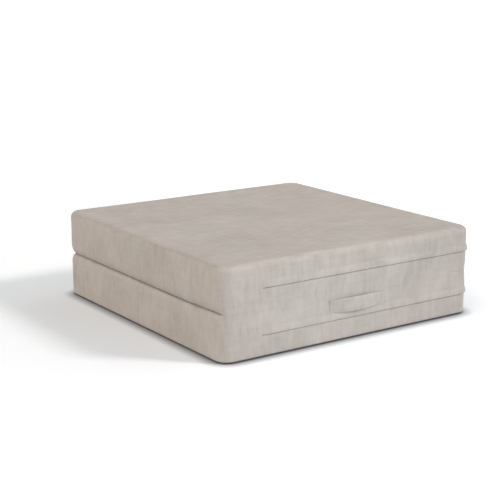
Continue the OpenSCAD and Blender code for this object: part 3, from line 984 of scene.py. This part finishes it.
def foam(block, name, bottom, top, edge, rounding, leaning):
    """A foam slab with cut edges between two heights of a block."""
    turns = np.radians([0, 30, 60, 90])
    rows = [
        (FOAM_SIDE + edge * (1 - math.sin(a)), bottom + edge * (1 - math.cos(a))) for a in turns
    ]
    rows += [(FOAM_SIDE, mix(bottom + edge, top - rounding, t)) for t in (0.35, 0.7)]
    rows += [
        (FOAM_SIDE + rounding * (1 - math.cos(a)), top - rounding * (1 - math.sin(a)))
        for a in turns
    ]
    rows = np.array(rows)
    open_rows = rows.copy()
    if leaning:
        past = np.clip((rows[:, 1] - (BLOCK_T - block.lean)) / block.lean, 0, 1)
        open_rows[:, 0] += block.draw * (1 - np.sqrt(1 - past ** 2))
    bm, _, _ = rounded_block(
        block, (open_rows, rows), FOAM_CELLS, straight_row=len(turns), seam_row=1
    )
    return finished(bm, name)


foams = []
for block in (LOWER, UPPER):
    split = BLOCK_T - COMFORT_T
    for layer, *shape in (
        ("core", FOAM_FACE, split, CORE_EDGE[block.name], CUT_EDGE, False),
        ("comfort", split + FOAM_GAP, BLOCK_T - FOAM_FACE, CUT_EDGE, SLEEP_ROUND, True),
    ):
        foams.append((block.name, layer, foam(block, f"{block.name}_{layer}_slab", *shape)))


# Finishes

class Wire:
    """A socket of a node tree, on which sums and products become Math nodes."""

    def __init__(self, nodes, socket):
        self.nodes, self.socket = nodes, socket

    def math(self, operation, *others):
        inputs = dict(enumerate([self, *others]))
        return self.nodes.node("Math", {"operation": operation}, inputs)

    def __add__(self, other):
        return self.math("ADD", other)

    def __sub__(self, other):
        return self.math("SUBTRACT", other)

    def __mul__(self, other):
        return self.math("MULTIPLY", other)

    def __rsub__(self, other):
        return self * -1 + other

    __radd__ = __add__
    __rmul__ = __mul__

    def clamped(self):
        return self.nodes.node("Clamp", {}, {0: self})

    def step(self, low, high):
        """0 below low and 1 above high, with a smooth rise between them."""
        return self.nodes.node(
            "MapRange", {"interpolation_type": "SMOOTHSTEP"},
            {"Value": self, "From Min": low, "From Max": high},
        )


class Nodes:
    """A node tree, and the nodes that finishes and light are made of."""

    def __init__(self, tree):
        self.tree = tree

    def put(self, socket, value):
        if isinstance(value, Wire):
            self.tree.links.new(value.socket, socket)
        else:
            socket.default_value = value

    def node(self, kind, settings=None, inputs=None, output=0):
        """Adds a node, its settings first, and returns one of its outputs."""
        made = self.tree.nodes.new("ShaderNode" + kind)
        for name, value in (settings or {}).items():
            setattr(made, name, value)
        for name, value in (inputs or {}).items():
            self.put(made.inputs[name], value)
        return Wire(self, made.outputs[output])

    def colour(self, factor, first, second, blend="MIX"):
        """Mixes two colours."""
        settings = {"data_type": "RGBA", "blend_type": blend}
        return self.node("Mix", settings, {0: factor, 6: first, 7: second}, 2)

    def noise(self, place, scale, detail=2.0, rough=0.5, at=(0, 0, 0)):
        """Noise of about 0 to 1 whose cells are 1 / scale wide along each axis."""
        moved = self.node("Mapping", {}, {"Vector": place, "Scale": scale, "Location": at})
        return self.node(
            "TexNoise", {}, {"Vector": moved, "Scale": 1.0, "Detail": detail, "Roughness": rough}
        )

    def bump(self, height, strength, distance):
        return self.node("Bump", {}, {"Height": height, "Strength": strength, "Distance": distance})

    def on_object(self):
        return self.node("TexCoord", output="Object")

    def split(self, place):
        """The first two parts of a vector."""
        made = self.tree.nodes.new("ShaderNodeSeparateXYZ")
        self.put(made.inputs[0], place)
        return [Wire(self, made.outputs[i]) for i in (0, 1)]

    def seen(self):
        """1 for what the camera, gloss and glass see, and 0 for the light that falls on things."""
        camera, gloss, glass = (
            self.node("LightPath", output=f"Is {ray} Ray")
            for ray in ("Camera", "Glossy", "Transmission")
        )
        return (camera + gloss + glass).clamped()


class Finish(Nodes):
    """A material made of nodes round one Principled shader."""

    def __init__(self, name, **constants):
        self.material = bpy.data.materials.new(name)
        self.material.use_nodes = True
        super().__init__(self.material.node_tree)
        self.shader = self.tree.nodes["Principled BSDF"]
        self.set(**constants)

    def set(self, **inputs):
        for name, value in inputs.items():
            self.put(self.shader.inputs[name.replace("_", " ")], value)


def srgb(*colour):
    """A colour written as sRGB bytes, as the shader's linear values."""
    shares = [byte / 255 for byte in colour]
    return (*(c / 12.92 if c <= 0.04045 else ((c + 0.055) / 1.055) ** 2.4 for c in shares), 1)


def linen():
    """Greige linen look: slubby yarns across and along, in soft warm and cool patches."""
    cloth = Finish("cover_linen", Specular_IOR_Level=0.25, Sheen_Weight=0.12, Sheen_Roughness=0.5)
    place = cloth.node("UVMap", {"uv_map": "cloth"})
    u, v = cloth.split(place)
    streaks = cloth.noise(place, (60, 16, 1))
    crossing = cloth.noise(place, (14, 60, 1), at=(3.1, 7.7, 2.2))
    patches = cloth.noise(place, (9, 7, 1), 3, 0.55, (9.3, 1.9, 4.4))
    hue = cloth.noise(place, (5, 4, 1), at=(1.3, 5.9, 8.8))
    fibres = cloth.noise(place, (420, 30, 1), 2, 0.6, (5.5, 2.1, 6.1))
    cross_fibres = cloth.noise(place, (30, 420, 1), 2, 0.6, (8.2, 4.6, 3.7))
    slubs = cloth.noise(place, (300, 16, 1), 1, 0.5, (2.2, 9.1, 1.4)).step(0.66, 0.74)
    cross_slubs = cloth.noise(place, (16, 300, 1), 1, 0.5, (6.6, 3.3, 7.2)).step(0.66, 0.74)

    tone = (
        0.5 + (streaks - 0.5) * 0.8 + (crossing - 0.5) * 0.4 + (patches - 0.5) * 1.0
        + (fibres - 0.5) * 0.3 + (cross_fibres - 0.5) * 0.2
        - slubs * 0.25 - cross_slubs * 0.2
    ).clamped()
    shade = hue.step(0.3, 0.7)
    dark = cloth.colour(shade, srgb(164, 155, 145), srgb(166, 154, 144))
    light = cloth.colour(shade, srgb(190, 182, 173), srgb(192, 182, 173))
    cloth.set(Base_Color=cloth.colour(tone, dark, light))

    yarn = 1.3 * MM
    warp, weft = ((way * (math.pi / yarn)).math("SINE").math("ABSOLUTE") for way in (u, v))
    weave = warp * weft
    relief = weave * 0.5 + fibres * 0.5 + cross_fibres * 0.5 + slubs * 0.5 + cross_slubs * 0.5
    cloth.set(Roughness=0.95 - weave * 0.1, Normal=cloth.bump(relief, 0.35, 0.5 * MM))
    return cloth.material


def thread_finish():
    thread = Finish("sewing_thread", Specular_IOR_Level=0.35)
    place = thread.on_object()
    twist = thread.noise(place, (3000, 3000, 1400), 1)
    thread.set(
        Base_Color=thread.colour(twist, srgb(160, 150, 138), srgb(186, 177, 166)),
        Roughness=0.6 + twist * 0.2,
        Normal=thread.bump(twist, 0.5, 0.1 * MM),
    )
    return thread.material


def tape_finish():
    """Woven zip tape with a fine herringbone, painted darker in its grooves as painted shade."""
    tape = Finish("zip_tape_weave", Specular_IOR_Level=0.3)
    place = tape.node("UVMap", {"uv_map": "cloth"})
    u, v = tape.split(place)
    chevron = (v * (math.pi / (2.4 * MM))).math("SINE").math("ARCSINE") * (0.76 * MM)
    rib = ((u + chevron) * (2 * math.pi / (0.9 * MM))).math("SINE") * 0.5 + 0.5
    # The colour is darker in the grooves between the ribs, where the bump sinks: painted shade
    tape.set(
        Base_Color=tape.colour(rib, srgb(146, 139, 129), srgb(170, 163, 153)),
        Roughness=0.9 - rib * 0.1,
        Normal=tape.bump(rib, 0.4, 0.15 * MM),
    )
    return tape.material


def teeth_finish():
    teeth = Finish("zip_teeth_plastic", Specular_IOR_Level=0.5)
    place = teeth.on_object()
    grain = teeth.noise(place, (260, 260, 260), 2)
    teeth.set(
        Base_Color=teeth.colour(grain, srgb(150, 143, 133), srgb(168, 161, 151)),
        Roughness=0.35 + grain * 0.15,
    )
    return teeth.material


def metal_finish():
    """Brushed nickel, a little duller where fingers rub it."""
    metal = Finish("nickel", Metallic=1.0)
    place = metal.on_object()
    brush = metal.noise(place, (2600, 260, 2600), 2)
    worn = metal.noise(place, (300, 300, 300), 2, at=(3, 1, 2)).step(0.4, 0.65)
    metal.set(
        Base_Color=metal.colour(worn, srgb(176, 173, 168), srgb(196, 194, 190)),
        Roughness=0.24 + brush * 0.12 + worn * 0.1,
        Normal=metal.bump(brush, 0.15, 0.05 * MM),
    )
    return metal.material


def foam_finish(name, dark, light):
    """Open-cell foam with fine pores painted darker as painted shade, and slow changes of tone."""
    cells = Finish(name, Specular_IOR_Level=0.2)
    place = cells.on_object()
    pores = cells.node("TexVoronoi", {"feature": "SMOOTH_F1"}, {"Vector": place, "Scale": 700.0})
    broad = cells.noise(place, (9, 9, 9), 3)
    depth = pores.step(0.1, 0.6)
    # The pores' depth darkens the colour as painted shade; the broad noise is the foam's own tone
    cells.set(
        Base_Color=cells.colour((depth * 0.6 + broad * 0.4).clamped(), light, dark),
        Roughness=0.92 + depth * 0.06,
        Normal=cells.bump(depth, -0.5, 0.6 * MM),
    )
    return cells.material


cover_linen = linen()
sewing_thread = thread_finish()
tape_weave = tape_finish()
teeth_plastic = teeth_finish()
nickel = metal_finish()
core_foam = foam_finish("core_foam_cells", srgb(205, 194, 160), srgb(238, 229, 200))
comfort_foam = foam_finish("comfort_foam_cells", srgb(178, 184, 190), srgb(214, 219, 224))


def paint(piece, material):
    piece.data.materials.clear()
    piece.data.materials.append(material)


def dress(piece, material):
    paint(piece, material)
    return piece


# Riding: every piece on its body, and own meshes for those that bend or flatten as it unfolds

COVER_PARTS = ("boxing", "outer_zip_strip", "inner_zip_strip", "sleep_panel")

for side, outer in (("lower", "base_panel"), ("upper", "top_panel")):
    cover = dress(cloth_pieces[side], cover_linen)
    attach(cover, side)
    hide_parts(*(f"{side}_{part}" for part in (outer, *COVER_PARTS)))

    for flap in flaps[side]:
        dress(flap, cover_linen)
        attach(flap, side)
        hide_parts(side + "_zip_flap")
    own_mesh(flaps[side][0])

    for tape in zips[side]["tapes"]:
        dress(tape, tape_weave)
        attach(tape, side)
        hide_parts(side + "_zip_tapes")
    teeth = dress(zips[side]["teeth"], teeth_plastic)
    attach(teeth, side)
    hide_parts(side + "_zip_coils")
    for part, body in (("slider", side + "_slider"), ("pull", side + "_pull")):
        metal = dress(zips[side][part], nickel)
        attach(metal, body)
        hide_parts(f"{side}_zip_{part}")
    paint(frame["nodes"][side + "_zip_stops"], nickel)

for side, layer, slab in foams:
    dress(slab, core_foam if layer == "core" else comfort_foam)
    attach(slab, side)
    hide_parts(f"{side}_{layer}_foam")

band = dress(cloth_pieces["band"], cover_linen)
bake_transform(band)
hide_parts("fold_band")

dress(handle, cover_linen)
dress(threads, sewing_thread)
for piece, node in ((handle, "handle_strap"), (threads, "handle_stitching")):
    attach(piece, "lower")
    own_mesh(piece)
    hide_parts(node)


# Floor and light

# How far from a piece the floor still darkens, and how deep that contact shade is
CONTACT_REACH = 44 * MM
CONTACT_DEPTH = 1.5

# How much the floor glows of itself left of the futon and right of it, from one x to the other, so
# that it stays white
FLOOR_GLOW = (0.055, 0.20)
FLOOR_EAST = (0.46, 0.72)

# The two soft lights of the surroundings: where each comes from, and its colour
SOFT_LIGHTS = (
    ((-1, 0, 0.15), (2.587, 2.526, 2.475)),
    ((1, 0, 0.15), (1.496, 1.624, 1.713)),
)

BLACK = (0, 0, 0, 1)
WHITE = (1, 1, 1, 1)
GREY = (0.5, 0.5, 0.5, 1)


def floor_finish():
    """White floor that keeps the shadow, and darkens softly where something stands close to it."""
    floor = Finish("white_floor", Roughness=1.0)
    floor.tree.nodes.remove(floor.shader)
    plain = floor.node("BsdfDiffuse", {}, {"Color": GREY})
    openness = floor.node("AmbientOcclusion", {"samples": 16}, {"Distance": CONTACT_REACH}, "AO")
    shade = floor.colour(openness.math("POWER", CONTACT_DEPTH), BLACK, WHITE)
    lit = floor.node("BsdfDiffuse", {}, {"Color": shade})
    east, _ = floor.split(floor.on_object())
    glow = floor.colour(east.step(*FLOOR_EAST), *[(level, level, level, 1) for level in FLOOR_GLOW])
    lift = floor.node("Emission", {}, {"Color": glow})
    white = floor.node("AddShader", {}, {0: lit, 1: lift})
    both = floor.node("MixShader", {}, {0: floor.seen(), 1: plain, 2: white})
    floor.put(floor.tree.nodes["Material Output"].inputs["Surface"], both)
    return floor.material


def light_world():
    """Two wide soft lights, left and right of the futon, before a white background."""
    world = bpy.data.worlds.new("studio")
    bpy.context.scene.world = world
    world.use_nodes = True
    sky = Nodes(world.node_tree)
    looking = sky.node("TexCoord", output="Generated")

    def soft_light(direction, colour):
        """A colour that is full in one direction and fades to nothing square to it."""
        facing = sky.node(
            "VectorMath", {"operation": "DOT_PRODUCT"},
            {0: looking, 1: Vector(direction).normalized()}, "Value",
        )
        return sky.colour(facing.math("MAXIMUM", 0).math("POWER", 2), BLACK, (*colour, 1))

    left, right = (soft_light(*light) for light in SOFT_LIGHTS)
    both = sky.colour(1, left, right, "ADD")
    background = sky.tree.nodes["Background"]
    sky.put(background.inputs["Color"], sky.colour(sky.seen(), both, WHITE))


def studio():
    """Floor, surroundings, a soft sun from the front right and a weak lamp low in front."""
    bm = bmesh.new()
    bmesh.ops.create_grid(bm, x_segments=1, y_segments=1, size=60)
    ground = finished(bm, "floor")
    paint(ground, floor_finish())

    light_world()

    key = bpy.data.lights.new("key", "SUN")
    key.energy = 1.53
    key.angle = math.radians(12)
    key.color = (1.0, 0.956, 0.935)
    elevation = math.radians(34)
    towards = Vector((
        0.70 * math.cos(elevation), -0.714 * math.cos(elevation), math.sin(elevation)
    ))
    aimed("key", key, (0, 0, 0), -towards)

    fill = bpy.data.lights.new("fill", "AREA")
    fill.shape = "DISK"
    fill.size = 0.8
    fill.energy = 14.2
    fill.color = (0.710, 0.838, 1.0)
    place = Vector((-0.2, -2.2, 0.45))
    aimed("fill", fill, place, Vector((-0.25, -0.5, 0.2)) - place)


studio()
bpy.context.scene.view_settings.view_transform = "Standard"
